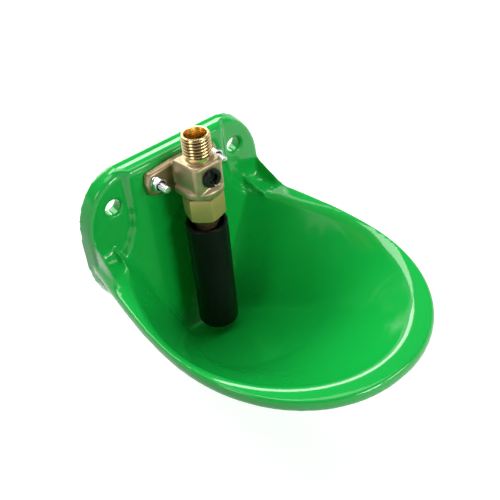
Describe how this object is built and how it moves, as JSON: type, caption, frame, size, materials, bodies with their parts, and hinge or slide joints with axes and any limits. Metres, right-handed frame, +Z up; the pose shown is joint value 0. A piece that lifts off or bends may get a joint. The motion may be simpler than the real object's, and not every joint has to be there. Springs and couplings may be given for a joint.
{
  "type": "livestock drinking bowl",
  "caption": "Wall-hung moulded drinking bowl for livestock, with a brass inlet valve that opens when an animal pushes the hanging tube.",
  "frame": {"origin": "on the wall plane, midway between the two wall-screw holes, on the back of the level rib that joins them", "axes": "+Z up, +Y into the wall, -Y out over the bowl, +X to the right of someone facing the bowl"},
  "size_m": [0.19, 0.233, 0.212],
  "materials": {
    "green_plastic": "glossy moulded",
    "cast_brass": "as cast, dull olive brass",
    "turned_brass": "machined",
    "zinc_steel": "bright zinc plated",
    "stainless_steel": "plain stainless",
    "black_plastic": "semi-matte extruded",
    "black_nylon": "matte moulded",
    "black_rubber": "plain"
  },
  "bodies": {
    "bowl": {"bowl_shell": "green_plastic", "valve_body": "cast_brass", "outlet_nut": "turned_brass", "nut_gasket": "black_rubber", "bolt_left": "zinc_steel", "flat_washer_left": "zinc_steel", "spring_washer_left": "zinc_steel", "hex_nut_left": "zinc_steel", "bolt_right": "zinc_steel", "flat_washer_right": "zinc_steel", "spring_washer_right": "zinc_steel", "hex_nut_right": "zinc_steel"},
    "spring": {"return_spring": "stainless_steel"},
    "tube": {"plunger": "stainless_steel", "valve_seal": "black_rubber", "push_tube": "black_plastic", "hub_washer": "stainless_steel", "tube_lock_nut": "stainless_steel"},
    "flow_screw": {"flow_screw": "black_nylon", "flow_screw_o_ring": "black_rubber"}
  },
  "joints": [
    {"name": "tube_push_back", "type": "hinge", "parent": "bowl", "child": "spring", "pos_m": [0, -0.0431, 0.0078], "axis": [1, 0, 0], "range_deg": [-4, 4], "stiffness_Nm_per_rad": 4, "deforming": ["return_spring"]},
    {"name": "tube_push_side", "type": "hinge", "parent": "spring", "child": "tube", "pos_m": [0, -0.0431, 0.0078], "axis": [0, 1, 0], "range_deg": [-4, 4], "stiffness_Nm_per_rad": 4, "deforming": ["return_spring"]},
    {"name": "flow_screw_turn", "type": "hinge", "parent": "bowl", "child": "flow_screw", "pos_m": [0, -0.0586, 0.019], "axis": [0, -1, 0], "range_deg": [-90, 180]}
  ]
}
